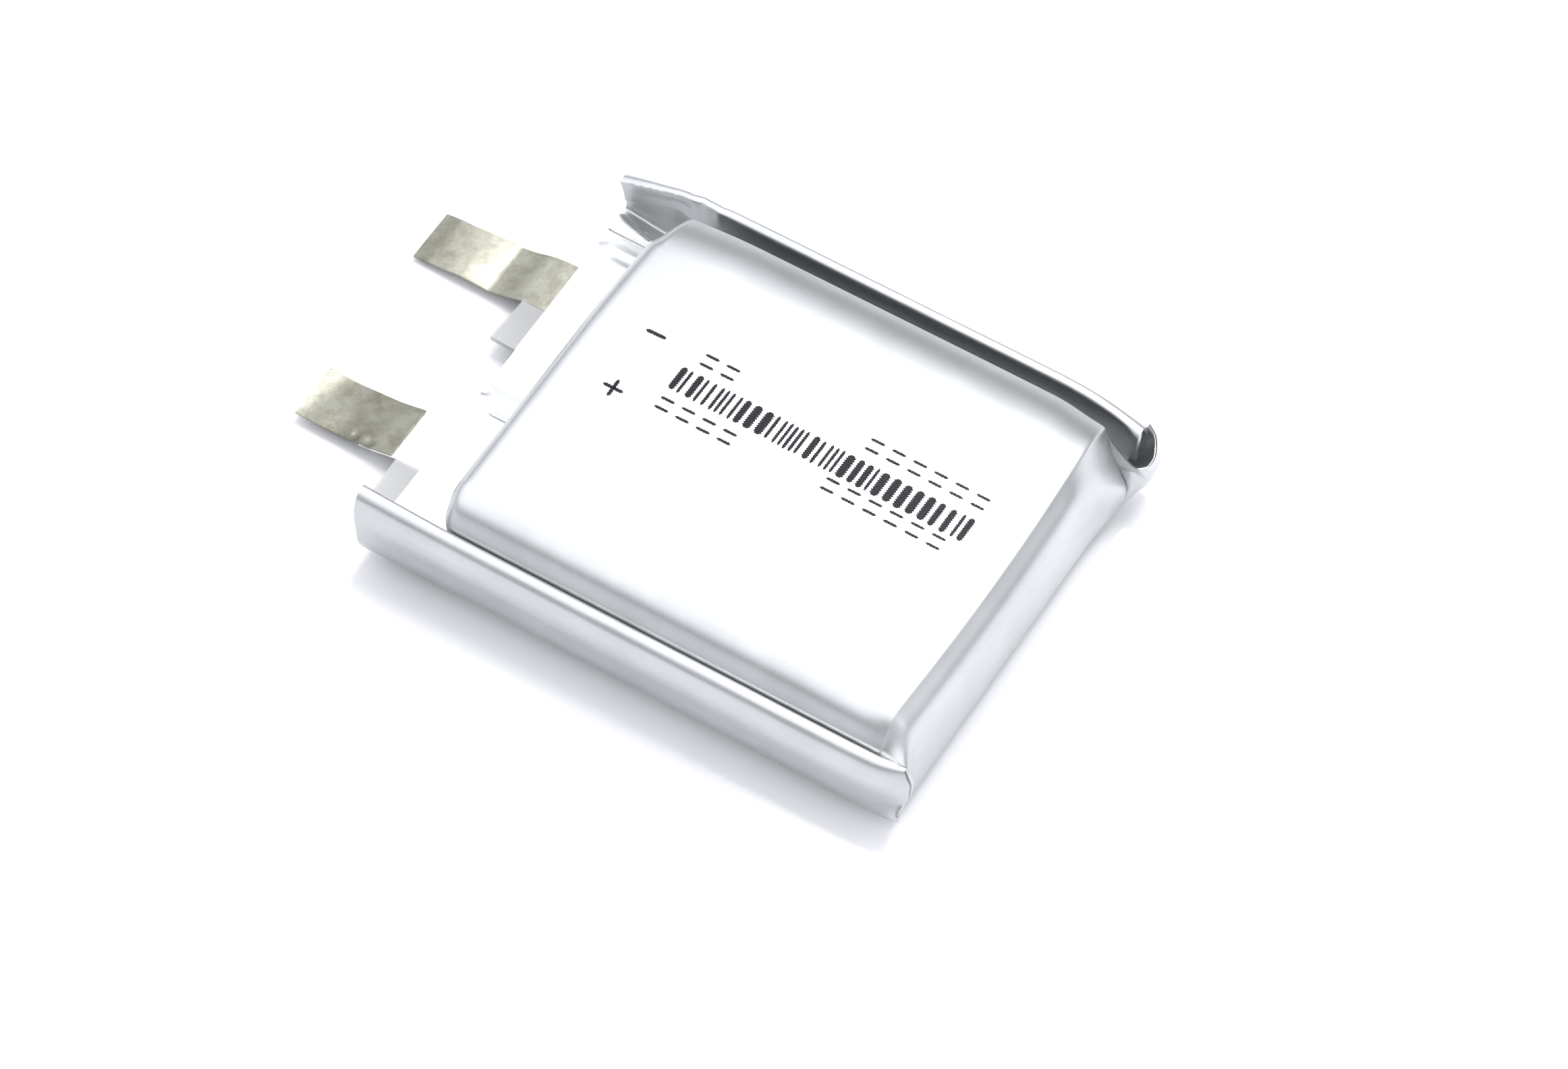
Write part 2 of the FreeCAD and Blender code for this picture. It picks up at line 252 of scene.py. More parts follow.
def foil_material(name, streaks):
    """Matt laminate with faint clouds and fine grain; streaks is the depth of lines along Y, in mm."""
    material, shader, nodes, links = new_material(name)
    cloud = noise(nodes, links, scale=0.35, detail=3)
    grain = noise(nodes, links, scale=14, detail=2)
    streak = noise(nodes, links, scale=2.2, detail=3, stretch=(1, 0.04, 1))
    links.new(
        ramp(nodes, links, cloud, 0.3, 0.75, (0.475, 0.485, 0.49), (0.525, 0.535, 0.54)),
        shader.inputs["Base Color"],
    )
    links.new(ramp(nodes, links, grain, 0.25, 0.8, (0.30,), (0.42,)), shader.inputs["Roughness"])
    shader.inputs["Metallic"].default_value = 1.0
    add_bump(nodes, links, shader, [(streak, streaks), (cloud, 0.02), (grain, 0.0012)])
    return material


def metal_material(name, dark, light, patch, rough, bump_depth):
    """Plain metal; patch is the scale of its clouds and rough its least roughness."""
    material, shader, nodes, links = new_material(name)
    cloud = noise(nodes, links, scale=patch, detail=4, roughness=0.65)
    grain = noise(nodes, links, scale=9, detail=3)
    links.new(ramp(nodes, links, cloud, 0.3, 0.7, dark, light), shader.inputs["Base Color"])
    links.new(
        ramp(nodes, links, grain, 0.2, 0.8, (rough,), (rough + 0.14,)), shader.inputs["Roughness"]
    )
    shader.inputs["Metallic"].default_value = 1.0
    add_bump(nodes, links, shader, [(cloud, bump_depth), (grain, bump_depth * 0.2)])
    return material


# nickel is a little yellow: the share of its grey in red, green and blue
NICKEL_TINT = (1.0, 0.99, 0.84)
# sockets of the Mix node when it mixes colours
MIX_FACTOR, MIX_FIRST, MIX_SECOND, MIX_RESULT = 0, 6, 7, 2


def nickel_graded_along_y(name, stops):
    """Nickel whose grey changes along the tab, lightest on the flat stretch past the bend, with random
    blotches: (y in millimetres, grey) stops.
    """
    material, shader, nodes, links = new_material(name)
    colours = [tuple(grey * share for share in NICKEL_TINT) for _, grey in stops]
    shade = shade_along(nodes, links, "Y", [y for y, _ in stops], colours)
    cloud = noise(nodes, links, scale=0.9, detail=5, roughness=0.7)
    blotch = ramp(nodes, links, cloud, 0.36, 0.6, (0.74, 0.72, 0.66), (1.06, 1.06, 1.06))
    blend = nodes.new("ShaderNodeMix")
    blend.data_type = "RGBA"
    blend.blend_type = "MULTIPLY"
    blend.inputs[MIX_FACTOR].default_value = 1.0
    links.new(shade, blend.inputs[MIX_FIRST])
    links.new(blotch, blend.inputs[MIX_SECOND])
    links.new(blend.outputs[MIX_RESULT], shader.inputs["Base Color"])
    grain = noise(nodes, links, scale=9, detail=3)
    links.new(ramp(nodes, links, grain, 0.2, 0.8, (0.26,), (0.4,)), shader.inputs["Roughness"])
    shader.inputs["Metallic"].default_value = 1.0
    add_bump(nodes, links, shader, [(cloud, 0.015), (grain, 0.003)])
    return material


def film_material(name, stops):
    """Milky film; stops are (x in millimetres, grey, alpha) across it, and the greys hold painted shade and
    painted light.
    """
    material, shader, nodes, links = new_material(name)
    places, greys, alphas = zip(*stops)
    for socket, values in (("Base Color", greys), ("Alpha", alphas)):
        shade = shade_along(nodes, links, "X", places, [(value,) for value in values])
        links.new(shade, shader.inputs[socket])
    shader.inputs["Roughness"].default_value = 0.28
    add_bump(nodes, links, shader, [(noise(nodes, links, scale=1.2, detail=3), 0.03)])
    return material


def matt_material(name, dark, light, scale, rough):
    """A coating, plastic or ink; scale is that of its grain and rough its least roughness."""
    material, shader, nodes, links = new_material(name)
    grain = noise(nodes, links, scale, detail=4)
    links.new(ramp(nodes, links, grain, 0.3, 0.7, dark, light), shader.inputs["Base Color"])
    links.new(
        ramp(nodes, links, grain, 0.3, 0.7, (rough,), (min(1, rough + 0.15),)),
        shader.inputs["Roughness"],
    )
    shader.inputs["Specular IOR Level"].default_value = 0.12
    add_bump(nodes, links, shader, [(grain, 0.006)])
    return material


FOIL = foil_material("pouch_foil", 0.0)
FOLD_FOIL = foil_material("fold_foil", 0.02)
NICKEL = nickel_graded_along_y(
    "nickel",
    [(16.8, 0.3), (18.9, 0.26), (19.15, 0.5), (20.6, 0.46), (22.4, 0.27), (22.9, 0.2), (23.7, 0.22)],
)
DULL_NICKEL = nickel_graded_along_y(
    "dull_nickel", [(17.2, 0.24), (20.4, 0.18), (21.2, 0.22), (22.6, 0.24), (23.1, 0.32)]
)
ALUMINIUM = metal_material("tab_aluminium", (0.80, 0.80, 0.80), (0.93, 0.93, 0.93), 1.5, 0.3, 0.03)
COPPER = metal_material("copper_foil", (0.72, 0.38, 0.24), (0.86, 0.52, 0.36), 0.8, 0.3, 0.01)
# each film is milky beside its tab, nearly clear over it, and paler on the far side; its grey is painted
# shade beside the tab, where shadow lies beneath the film, and painted light on the far side
FILM_PAINTED_SHADE_LOOKS = {
    "negative": film_material(
        "negative_film",
        [
            (1.85, 0.4, 0.5), (4.75, 0.36, 0.5), (4.95, 0.3, 0.04), (8.2, 0.5, 0.04), (8.4, 0.95, 0.4),
            (10.5, 0.95, 0.4),
        ],
    ),
    "positive": film_material(
        "positive_film",
        [
            (-9.88, 0.45, 0.5), (-7.35, 0.4, 0.5), (-7.15, 0.9, 0.1), (-3.9, 0.9, 0.1), (-3.7, 0.9, 0.4),
            (-1.2, 0.9, 0.4),
        ],
    ),
}
INK = matt_material("ink", (0.004, 0.004, 0.005), (0.02, 0.02, 0.022), 12, 0.5)
CAD_LOOKS = {
    "anode_sheet": matt_material("anode_coating", (0.03, 0.03, 0.035), (0.08, 0.08, 0.085), 10, 0.6),
    "cathode_sheet": matt_material("cathode_coating", (0.05, 0.05, 0.055), (0.1, 0.1, 0.11), 14, 0.55),
    "separator_inner": matt_material("separator", (0.82, 0.82, 0.81), (0.93, 0.93, 0.92), 6, 0.55),
    "winding_end_tape": matt_material("tape", (0.10, 0.32, 0.22), (0.16, 0.42, 0.30), 3, 0.3),
    "anode_foil_tail": COPPER,
    "cathode_foil_tail": ALUMINIUM,
}
CAD_LOOKS["separator_outer"] = CAD_LOOKS["separator_inner"]
for tape in ("negative_tab_tape", "positive_tab_tape"):
    CAD_LOOKS[tape] = CAD_LOOKS["winding_end_tape"]


def finish_piece(obj, material, body, nodes):
    """Give a piece its look and the body it rides on, and hide the CAD nodes it stands for."""
    obj.data.materials.clear()
    obj.data.materials.append(material)
    if body:
        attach(obj, body)
    if nodes:
        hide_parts(*nodes)


# ---- the cup and the end patch ----

# Each edge of the top face rolls over before its wall: reach in plan, drop in height, the
# exponent of its superellipse, the angle where the round stops, and how far out and down the
# straight part after it goes.
ROLL = {
    "left": (1.9, 1.9, 2.0, 61, 0.5, 0.95),
    "right": (6.2, 5.6, 2.0, 33, 0.03, 0.3),
    "front": (1.1, 1.1, 2.0, 88, 0.0, 0.3),
    "back": (1.04, 0.33, 5.0, 62, 0.03, 0.03),
}
# the share of a roll's points that lie on its round
ROUND_SHARE = 0.75
# how square the plan is at each front corner: the exponent of its superellipse
PLAN_POWER = {"front_right": 2.2, "front_left": 2.6}
ALONG_STEPS = 60
ACROSS_STEPS = 130
CORNER_STEPS = 16
ROLL_STEPS = 16
ROLL_SHARES = [step / ROLL_STEPS for step in range(ROLL_STEPS + 1)]
WALL_STEPS = 9
FLANGE_STEPS = 26
FILLET = 0.3
FILLET_STEPS = 4
# how far out the fillet at the foot of a wall runs
FILLET_RUN = {"left": 0.12}
FILLET_RUN_ELSEWHERE = 0.9 * FILLET
# how far a wall is drawn in at half its height
WALL_HOLLOW = 0.1
# where the walls stand, measured from the sides of the CAD cup
LEFT_WALL = cup_low.x - 0.42
RIGHT_WALL = cup_high.x + 0.02
FRONT_WALL = cup_high.y + 0.3
BACK_CREASE = cup_low.y + 0.4
# where the side folds rise from the seal
LEFT_ROOT = LEFT_WALL - 0.14
RIGHT_ROOT = RIGHT_WALL + 0.6
# the bow of the top face's back edge: its size, middle and half width, and where it grows in
BACK_BOW = 0.43
BOW_MIDDLE, BOW_HALF = 0.5, 11.5
BOW_Y = (-5.0, -13.6)
# how far the far back corner is pinched in, and where
PINCH = 0.3
PINCH_X, PINCH_Y = (7.0, 11.0), (-11.0, -14.0)
# where the near back corner's tip grows in, and the shares of the near roll that it drops over
TIP_Y = (-12.4, -14.2)
TIP_ROLL = (0.3, 1.35)


def roll_offset(shape, share):
    """How far out and down a roll has gone; share 0 is the flat and 1 the top of the wall."""
    reach, drop, power, limit, straight_out, straight_down = shape
    angle = min(1.0, share / ROUND_SHARE) * math.radians(limit)
    straight = max(0.0, share - ROUND_SHARE) / (1 - ROUND_SHARE)
    out = reach * math.sin(angle) ** (2 / power) + straight_out * straight
    down = drop * (1 - math.cos(angle) ** (2 / power)) + straight_down * straight
    return out, down


# the near roll's outline, finely sampled
LEFT_STEPS = 40
LEFT_ROLL = [roll_offset(ROLL["left"], k / LEFT_STEPS) for k in range(LEFT_STEPS + 1)]
LEFT_DROP = LEFT_ROLL[-1][1]
inner_left = LEFT_WALL + roll_offset(ROLL["left"], 1)[0]
inner_right = RIGHT_WALL - roll_offset(ROLL["right"], 1)[0]
inner_front = FRONT_WALL - roll_offset(ROLL["front"], 1)[0]
inner_back = BACK_CREASE + roll_offset(ROLL["back"], 1)[0]

# The top face falls away from its middle toward its sides and ends, and more along the far edge
# and at the far front corner, with a faint hollow between (its middle and width in x and y).
CROWN_HALF = (11.0, 13.0)
SIDE_FALL, END_FALL = 0.16, 0.12
FAR_EDGE_FALL, FAR_EDGE_X = 0.2, (3.0, 11.0)
FAR_FRONT_FALL, FAR_FRONT_X, FAR_FRONT_Y = 0.3, (1.0, 10.0), (6.5, 12.0)
HOLLOW, HOLLOW_X, HOLLOW_Y = 0.05, (7.0, 3.0), (1.0, 7.0)


def crown(x, y):
    """How far the slightly swollen top face lies below its highest point."""
    across = (x - (inner_left + inner_right) / 2) / CROWN_HALF[0]
    along = (y - (inner_front + inner_back) / 2) / CROWN_HALF[1]
    fall = SIDE_FALL * abs(across) ** 3 + END_FALL * abs(along) ** 4
    far_edge = FAR_EDGE_FALL * smoothstep(*FAR_EDGE_X, x) ** 2
    far_front = FAR_FRONT_FALL * smoothstep(*FAR_FRONT_X, x) * smoothstep(*FAR_FRONT_Y, y)
    hollow = HOLLOW * bump(x, *HOLLOW_X) * bump(y, *HOLLOW_Y)
    return fall + far_edge + far_front + hollow


def left_down(x):
    """How far the near roll has dropped at x."""
    outs, downs = zip(*LEFT_ROLL)
    return float(np.interp(inner_left - x, outs, downs))


def top_level(x, y):
    return TOP - crown(x, y)


def top_point(x, y, down):
    """A point of the top face: its back edge bows outward and its far back corner is pinched in."""
    bow = BACK_BOW * max(0.0, 1 - ((x - BOW_MIDDLE) / BOW_HALF) ** 2) * smoothstep(*BOW_Y, y)
    pinch = PINCH * smoothstep(*PINCH_X, x) * smoothstep(*PINCH_Y, y)
    if x < inner_left:
        # the roll tightens toward the near back corner, which ends in a tip
        share = (inner_left - x) / (inner_left - LEFT_WALL)
        tip = smoothstep(*TIP_ROLL, share) / smoothstep(*TIP_ROLL, 1.0)
        tight = down + LEFT_DROP * tip - left_down(x)
        down = mix(down, tight, smoothstep(*TIP_Y, y))
    return Vector((x - pinch, y - bow, top_level(x, y) - down))


def front_stations():
    """The start of each line over the front edge, with its roll: (start, direction, shape, side)."""
    made = []
    for step in range(CORNER_STEPS + 1):
        turn = step / CORNER_STEPS * math.pi / 2
        for flank, sign, place in (("left", -1, inner_left), ("right", 1, inner_right)):
            side = "front_" + flank
            square = 2 / PLAN_POWER[side]
            shape = [mix(a, b, math.sin(turn) ** 2) for a, b in zip(ROLL[flank], ROLL["front"])]
            along = (sign * max(0.0, math.cos(turn)) ** square, math.sin(turn) ** square)
            made.append(((place, inner_front), along, shape, side))
    left, right = made[0::2], made[1::2]
    middle = []
    for step in range(1, ACROSS_STEPS):
        place = mix(inner_left, inner_right, step / ACROSS_STEPS)
        middle.append(((place, inner_front), (0, 1), ROLL["front"], "front"))
    return left + middle + right[::-1]


def front_point(station, share):
    """A point on the roll of the front edge or a front corner."""
    start, along, shape, side = station
    flank = {"front_left": "left", "front_right": "right", "front": "front"}[side]
    down = roll_offset(shape, share)[1]
    reach_x = roll_offset(ROLL[flank], share)[0]
    reach_y = roll_offset(ROLL["front"], share)[0]
    x = start[0] + along[0] * reach_x
    y = start[1] + along[1] * reach_y
    return top_point(x, y, down)


FILM_BOXES = [node_box(f"{name}_film_upper") for name in ("negative", "positive")]
# the seal is raised over the films: how much, how soft the raise's edges are, and where it starts
FILM_RAISE, FILM_RAISE_Y = 0.13, (10.0, 11.0)
FILM_EDGE, FILM_FAR_EDGE = 0.3, 0.9
# a dent at the far edge of each film, at the terrace's end: depth, half width, length, and inset
DENT_DEPTH, DENT_HALF, DENT_LENGTH, DENT_INSET = 0.14, 0.2, 0.6, 0.1
# short creases along Y on the terrace: where each lies in x, their depth and half width, and
# where along Y they fade out at each end
TERRACE_CREASES = (9.8, -2.28)
CREASE_DEPTH, CREASE_HALF = 0.16, 0.1
CREASE_OUTER_END, CREASE_INNER_END = (14.55, 14.35), (12.0, 12.6)
# the seal climbs toward the far side fold
CLIMB_START, CLIMB = 10.6, 0.22
# a seal's line reaches the seal's own level after one part in this many
SEAL_BLEND = 6


def seal_middle(x):
    """The level between the two halves of the seal."""
    return SEAL + CLIMB * max(0.0, x - CLIMB_START)


def seal_swell(x, y):
    """How much thicker each half of the seal is: raised over the films, with a few short creases."""
    swell = 0.0
    for low, high in FILM_BOXES:
        near = smoothstep(low.x - FILM_EDGE, low.x + FILM_EDGE, x)
        far = smoothstep(high.x - FILM_EDGE, high.x + FILM_FAR_EDGE, x)
        swell += FILM_RAISE * (near - far) * smoothstep(*FILM_RAISE_Y, y)
        dent = DENT_DEPTH * bump(x, high.x - DENT_INSET, DENT_HALF)
        swell -= dent * smoothstep(TERRACE_END - DENT_LENGTH, TERRACE_END, y)
    for at in TERRACE_CREASES:
        crease = CREASE_DEPTH * bump(x, at, CREASE_HALF)
        swell -= crease * smoothstep(*CREASE_OUTER_END, y) * smoothstep(*CREASE_INNER_END, y)
    return swell


def seal_level(x, y):
    """The upper surface of the seal."""
    return seal_middle(x) + LAMINATE + seal_swell(x, y)


def wall_column(top, outward, side):
    """Points from the rolled edge down the wall and round the fillet at its foot."""
    column = []
    bottom = SEAL + LAMINATE + FILLET
    for step in range(WALL_STEPS + 1):
        share = step / WALL_STEPS
        spot = Vector((top.x, top.y, mix(top.z, bottom, share)))
        column.append(spot - outward * WALL_HOLLOW * math.sin(share * math.pi))
    run = FILLET_RUN.get(side, FILLET_RUN_ELSEWHERE)
    for step in range(1, FILLET_STEPS + 1):
        angle = step / FILLET_STEPS * math.pi / 2
        spot = Vector((top.x, top.y, bottom)) + outward * run * (1 - math.cos(angle))
        spot.z = bottom - FILLET * math.sin(angle)
        column.append(spot)
    return column


def seal_line(start, end):
    """Points along the seal's upper surface from the foot of a wall to the seal's edge."""
    points = []
    for step in range(1, FLANGE_STEPS + 1):
        share = step / FLANGE_STEPS
        x, y = mix(start.x, end[0], share), mix(start.y, end[1], share)
        points.append(Vector((x, y, mix(start.z, seal_level(x, y), min(1, share * SEAL_BLEND)))))
    return points


def seal_column(foot, side):
    """The seal beside one wall: straight out to the side fold, or along Y to the terrace's end."""
    if side == "right":
        return seal_line(foot, (RIGHT_ROOT, foot.y))
    if side == "left":
        return seal_line(foot, (LEFT_ROOT, foot.y))
    return seal_line(foot, (foot.x, TERRACE_END))


# The end patch hangs from the cup's back edge. Beyond each back corner four lines guide it out to
# the side fold: its top edge, the foot of its sloping facet, its wall and its bottom edge.
LEFT_GUIDES = [
    [(-12.3, -14.8, 5.75), (-12.32, -15.54, 6.05)],
    [(-12.3, -15.7, 5.55), (-12.34, -15.85, 5.5)],
    [(-12.35, -15.72, 3.95), (-12.45, -15.85, 3.9)],
    [(-12.35, -15.48, 1.55), (-12.42, -15.5, 1.65)],
]
RIGHT_GUIDES = [
    [
        (10.32, -14.9, 5.55), (10.3, -15.6, 5.0), (10.55, -16.3, 4.5), (10.95, -16.63, 4.5),
        (11.5, -16.65, 4.5), (12.16, -16.44, 4.6), (12.65, -16.1, 4.9), (12.78, -15.6, 5.4),
    ],
    [
        (10.62, -15.98, 3.5), (10.78, -16.2, 3.4), (10.95, -16.45, 3.4), (11.1, -16.66, 3.4),
        (11.6, -16.72, 3.4), (12.3, -16.6, 3.5), (12.85, -16.3, 3.7), (12.98, -15.7, 4.2),
    ],
    [
        (10.65, -16.02, 2.4), (10.82, -16.14, 2.4), (11.0, -16.3, 2.4), (11.2, -16.45, 2.4),
        (11.65, -16.58, 2.4), (12.35, -16.6, 2.5), (12.95, -16.35, 2.7), (13.02, -15.7, 2.9),
    ],
    [
        (10.68, -15.92, 1.4), (10.82, -15.98, 1.42), (11.0, -16.05, 1.45), (11.25, -16.1, 1.5),
        (11.7, -16.25, 1.55), (12.35, -16.45, 1.6), (12.9, -16.3, 1.65), (13.0, -15.7, 1.75),
    ],
]
RIDGE_STEPS = {"right": 30, "left": 7}
PATCH_STEPS = 34
# the sloping facet's run along -Y and down, how much more it has on the far side, and where
FACET_RUN, FACET_DROP = 0.95, 1.05
FAR_FACET_RUN, FAR_FACET_DROP, FAR_FACET_X = 0.25, 2.6, (4.0, 10.4)
# toward the near corner its foot draws in to this place and level
NEAR_FACET_X, NEAR_FACET_Y, NEAR_FACET_Z = (-10.8, -12.1), -15.55, 5.6
# the end flares out toward the far corner: facet, and by this share of it the bottom fold
FLARE, FLARE_X, FOOT_FLARE = 0.4, (6.5, 10.6), 0.7
# a point of the bottom fold's line, and how steeply the line runs toward -Y
FOLD_LINE_X, FOLD_LINE_Y, FOLD_SLOPE = -0.7, -15.42, 0.012
# the bottom fold curls under: (inward, down) from its edge
FOLD_CURL = ((0.02, 0.05), (0.07, 0.1), (0.16, 0.115))
# how far along -Y the foot of a ridge's inner side runs
RIDGE_FOOT = 0.5


def fold_line(x):
    """The bottom fold's edge, as y, across the width."""
    return FOLD_LINE_Y - FOLD_SLOPE * (x - FOLD_LINE_X)


def patch_guides(top):
    """The four guide points of one column between the back corners."""
    near = smoothstep(*NEAR_FACET_X, top.x)
    far = smoothstep(*FAR_FACET_X, top.x) ** 2
    out, down = FACET_RUN + FAR_FACET_RUN * far, FACET_DROP + FAR_FACET_DROP * far
    flare = FLARE * smoothstep(*FLARE_X, top.x) ** 1.5
    facet_y = mix(top.y - out, NEAR_FACET_Y, near) - flare
    facet = Vector((top.x, facet_y, mix(top.z - down, NEAR_FACET_Z, near)))
    foot = Vector((top.x, fold_line(top.x) - FOOT_FLARE * flare, SEAL))
    # the wall bulges a little between the facet and the foot
    wall = Vector((top.x, mix(facet.y, foot.y, 0.4) - 0.1, mix(facet.z, foot.z, 0.45)))
    return [top, facet, wall, foot]


def patch_column(guides):
    """From the top edge down the facet and the wall to the bottom fold, which curls under."""
    top, facet, wall, foot = guides
    # a point just below the facet rounds its turn into the wall
    turned = mix(facet, wall, 0.16) + Vector((0, -0.05, 0))
    outline = [top, mix(top, facet, 0.86), turned, wall, foot]
    column = [Vector(point) for point in path(outline, PATCH_STEPS)]
    return column + [foot + Vector((0, inward, -down)) for inward, down in FOLD_CURL]


def ridge_inside(ridge, wall):
    """Columns from the cup's wall along the inner side of a ridge to its end."""
    columns = [wall]
    for k in range(1, len(ridge)):
        share = k / (len(ridge) - 1)
        across = (ridge[-1][0].x - wall[-1].x) * share
        base = wall[-1] + Vector((across, -RIDGE_FOOT * share, 0))
        columns.append([mix(ridge[k][0], base, step / WALL_STEPS) for step in range(WALL_STEPS + 1)])
    return columns


def top_grid():
    """Rows of points over the top face, with its rolls along the sides and the back."""
    left, right, back = (
        [roll_offset(ROLL[side], share) for share in ROLL_SHARES] for side in ("left", "right", "back")
    )
    columns = [(inner_left - out, down) for out, down in left[::-1]]
    columns += [(mix(inner_left, inner_right, i / ACROSS_STEPS), 0) for i in range(1, ACROSS_STEPS)]
    columns += [(inner_right + out, down) for out, down in right]
    lines = [(inner_back - out, down) for out, down in back[::-1]]
    lines += [(mix(inner_back, inner_front, i / ALONG_STEPS), 0) for i in range(1, ALONG_STEPS + 1)]
    return [
        [top_point(x, y, side_down + end_down) for x, side_down in columns] for y, end_down in lines
    ]


def add_walls(sheet, top, stations):
    """The walls and the seal, from the near back corner round the tab end to the far back corner."""
    edge = [(row[0], Vector((-1, 0, 0)), "left") for row in top[:-1]]
    edge += [(front_point(s, 1), Vector((*s[1], 0)).normalized(), s[3]) for s in stations]
    edge += [(row[-1], Vector((1, 0, 0)), "right") for row in top[-2::-1]]
    walls = [wall_column(*place) for place in edge]
    seals = [seal_column(wall[-1], place[2]) for wall, place in zip(walls, edge)]
    sheet.add([wall + seal for wall, seal in zip(walls, seals)])
    # the strips of seal between the terrace and the side folds
    for name, root, pick, next_to in (("front_left", LEFT_ROOT, 0, -1), ("front_right", RIGHT_ROOT, -1, 1)):
        at = [i for i, place in enumerate(edge) if place[2] == name][pick]
        line = [walls[at][-1]] + seals[at]
        sheet.add([[p] + seal_line(p, (root, p.y)) for p in line])
        feet = [walls[at + next_to][-1], walls[at][-1]]
        sheet.add([[p] + seal_line(p, (root, p.y)) for p in feet])
    return walls


def add_patch(sheet, back_edge, walls):
    """The end patch, from the top face's back edge down, and the inner side of its two ridges."""
    middle = [patch_guides(point) for point in back_edge[::-1]]
    ridges = {}
    for side, corner, guides in (("right", middle[0], RIGHT_GUIDES), ("left", middle[-1], LEFT_GUIDES)):
        count = RIDGE_STEPS[side]
        ridge = [path([start, *line], count) for start, line in zip(corner, guides)]
        ridges[side] = [[Vector(line[k]) for line in ridge] for k in range(count)]
    guides = ridges["right"][:0:-1] + middle + ridges["left"][1:]
    sheet.add([patch_column(g) for g in guides])
    for side, wall in (("right", walls[-1]), ("left", walls[0])):
        sheet.add(ridge_inside(ridges[side], wall[: WALL_STEPS + 1]))


def make_front():
    """The front sheet: the cup with its flange and terrace, and the patch down to the bottom fold."""
    sheet = Sheet()
    top = top_grid()
    sheet.add(top)
    stations = front_stations()
    sheet.add([[front_point(station, share) for share in ROLL_SHARES] for station in stations])
    walls = add_walls(sheet, top, stations)
    add_patch(sheet, top[0], walls)
    piece = sheet.build("pouch_front", LAMINATE, even=False)
    finish_piece(piece, FOIL, "pouch", ["cup_shell", "top_seal_upper", "bottom_fold"])


# ---- side folds ----

# y, root, belly, crest, height, hem, hem_low: how far the outer surface reaches from the middle
# plane at each place round the section, the height of the crest and that of the hem's lower edge.
RIGHT_FOLD = [
    (15.5, 12.15, 13.26, 12.34, 4.72, 12.76, 2.35),
    (14.3, 11.85, 13.2, 12.38, 5.12, 12.7, 2.95),
    (13.2, 11.6, 13.14, 12.42, 5.45, 12.62, 3.6),
    (12.0, 11.55, 13.1, 12.45, 5.8, 12.44, 4.2),
    (10.7, 11.7, 13.06, 12.48, 6.0, 12.22, 4.2),
    (6.0, 11.7, 13.05, 12.5, 6.1, 12.12, 3.7),
    (-9.3, 11.7, 13.05, 12.5, 6.1, 12.12, 3.7),
    (-12.7, 11.7, 12.95, 12.33, 6.1, 11.96, 3.7),
    (-14.5, 11.7, 12.72, 12.0, 6.08, 11.65, 3.7),
    (-15.65, 11.7, 12.6, 11.68, 6.05, 11.25, 4.0),
]
LEFT_FOLD = [
    (15.5, 12.62, 13.42, 12.7, 6.5, 12.38, 3.9),
    (14.0, 12.6, 13.38, 12.66, 6.35, 12.34, 3.8),
    (11.5, 12.58, 13.32, 12.62, 6.15, 12.32, 3.7),
    (8.0, 12.58, 13.3, 12.62, 6.1, 12.31, 3.7),
    (-9.0, 12.58, 13.3, 12.62, 6.1, 12.31, 3.7),
    (-13.7, 12.58, 13.24, 12.6, 6.1, 12.3, 3.7),
    (-14.8, 12.53, 13.02, 12.52, 6.08, 12.27, 3.8),
    (-15.5, 12.42, 12.66, 12.42, 6.05, 12.24, 3.9),
]
SECTION_STEPS = 64
FOLD_STEPS = 170
CREST_HALF = 0.24
# the slope of the sheet from the root to the knee
SCOOP = 1.35
# the belly's height, as a share of the way from the seal to the crest
BELLY_SHARE = 0.69
# the outer face's last stretch: (share of the way from belly to crest, how far below the crest)
CREST_CURVE = ((0.02, 1.1), (0.12, 0.8), (0.44, 0.25), (0.7, 0.06))
# nicks fade in between these levels
NICK_LEVELS = (4.6, 5.9)
# a ragged end slips within these places and levels
RAGGED_Y, RAGGED_TOP, RAGGED_FOOT = (-14.2, -15.6), (6.2, 5.0), (1.6, 4.4)
# the right fold's nicks in its crest: (y, depth, width), and where its foot turns into a lip
RIGHT_NICKS = [(11.4, -0.05, 0.15), (10.7, 0.06, 0.2), (9.6, -0.05, 0.2)]
RIGHT_LIPS = (10.9, 12.2)
# past the end of a fold: its foot has no lip
NO_LIPS = (20.0, 21.0)


def fold_section(sign, start, knee, tuck, lip, root, belly, crest, height, hem, hem_low):
    """(reach, level) points from the flange up the outer face, over the crest and down the hem."""
    middle = mix(SEAL, height, BELLY_SHARE)
    low, high = (seal_middle(sign * reach) - LAMINATE for reach in (start, root))
    knee_reach = min(belly - tuck, root + (knee - high) / SCOOP)
    scoop = [
        (root + 0.06, high + 0.05),
        (mix(root, knee_reach, 0.6), mix(high, knee, 0.55)),
        (knee_reach, knee),
        (mix(knee_reach, belly, 0.6), mix(knee, middle, 0.5)),
    ]
    # a lip: past the root the sheet dips before it rises
    dip = [
        (root + 0.12, high - 0.1),
        (root + 0.32, high - 0.3),
        (mix(root, belly, 0.75), high - 0.22),
        (belly - 0.06, high + 0.7),
    ]
    # the hem's inner face hangs from the crest's inner edge
    inner_edge = crest - CREST_HALF
    return [
        (start, low),
        (root, high),
        *[(mix(a[0], b[0], lip), mix(a[1], b[1], lip)) for a, b in zip(scoop, dip)],
        (belly, middle),
        *[(mix(belly, crest, share), height - drop) for share, drop in CREST_CURVE],
        (crest, height),
        (inner_edge, height - 0.1),
        (mix(inner_edge, hem, mix(0.75, 0.2, lip)), height - 0.45),
        (mix(hem, mix(crest, hem, 0.5), lip), mix(height, hem_low, 0.6)),
        (hem, hem_low),
    ]


